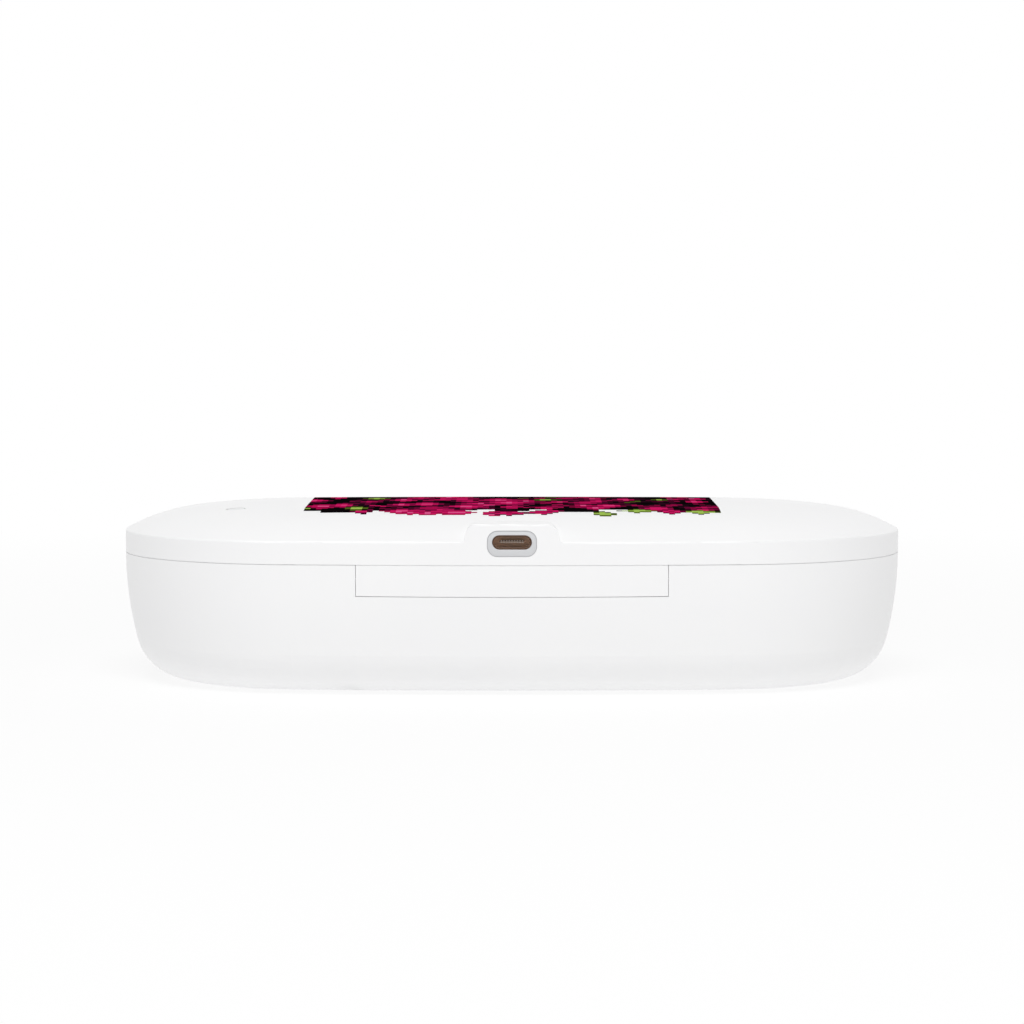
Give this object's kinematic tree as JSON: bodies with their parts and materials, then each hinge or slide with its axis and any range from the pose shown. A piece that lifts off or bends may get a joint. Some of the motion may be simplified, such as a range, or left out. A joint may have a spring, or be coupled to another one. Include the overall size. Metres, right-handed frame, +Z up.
{
  "type": "uv sanitizer box",
  "caption": "Hinged oval box that cleans a phone with ultraviolet light; domed lid with charging pad, push button and rear charging socket.",
  "frame": {"origin": "middle of the surface it stands on, under the closed case", "axes": "+X to the right in the picture's view of the back, +Y towards the front edge where the lid lifts, +Z up; the hinge and socket face -Y"},
  "size_m": [0.2196, 0.114, 0.0496],
  "materials": {
    "case_white": "moulded ABS, satin gloss",
    "liner_white": "moulded ABS, fine matt",
    "bright_sheet": "bright rolled sheet",
    "clear_rest": "clear acrylic",
    "soft_grey": "silicone",
    "dark_rubber": "moulded rubber",
    "steel": "zinc-plated steel",
    "black_plastic": "moulded nylon",
    "board": "solder-masked laminate",
    "board_white": "white solder-masked laminate",
    "copper": "enamelled copper wire",
    "ferrite": "sintered ferrite",
    "bezel_grey": "moulded ABS, pale grey",
    "port_metal": "bronze-dark plated sleeve",
    "port_plastic": "brown moulded insulator",
    "contact_metal": "nickel-gold plate",
    "lamp_body": "ceramic lamp body",
    "window_glass": "quartz glass"
  },
  "bodies": {
    "base": {"base_shell": "case_white", "base_tray": "liner_white", "reflector_plate": "bright_sheet", "phone_rests": "clear_rest", "tray_bumpers": "soft_grey", "base_magnets": "steel", "hinge_pins": "steel", "rubber_feet": "dark_rubber", "tray_screws": "steel"},
    "lid": {"lid_shell": "case_white", "lid_inner_cover": "liner_white", "cover_screws": "steel", "hinge_block": "case_white", "hinge_screws": "steel", "lid_magnets": "steel", "coil_bracket": "black_plastic", "bracket_screws": "steel", "coil_ferrite": "ferrite", "charging_coil": "copper", "control_board": "board", "board_parts": "black_plastic", "port_bezel": "bezel_grey", "port_shell": "port_metal", "port_core": "port_plastic", "port_contacts": "contact_metal", "led_boards": "board_white", "uv_leds": "lamp_body", "led_windows": "window_glass", "switch_board": "board", "power_switch": "black_plastic", "lid_sensor": "black_plastic"},
    "button": {"power_button": "case_white", "switch_plunger": "port_plastic"}
  },
  "joints": [
    {"name": "lid_hinge", "type": "hinge", "parent": "base", "child": "lid", "pos_m": [0, -0.0538, 0.032], "axis": [1, 0, 0], "range_deg": [0, 100]},
    {"name": "power_button_push", "type": "slide", "parent": "lid", "child": "button", "axis": [0, 0, -1], "range_m": [0, 0.0004], "stiffness_N_per_m": 4000, "springref_m": -0.0001}
  ]
}
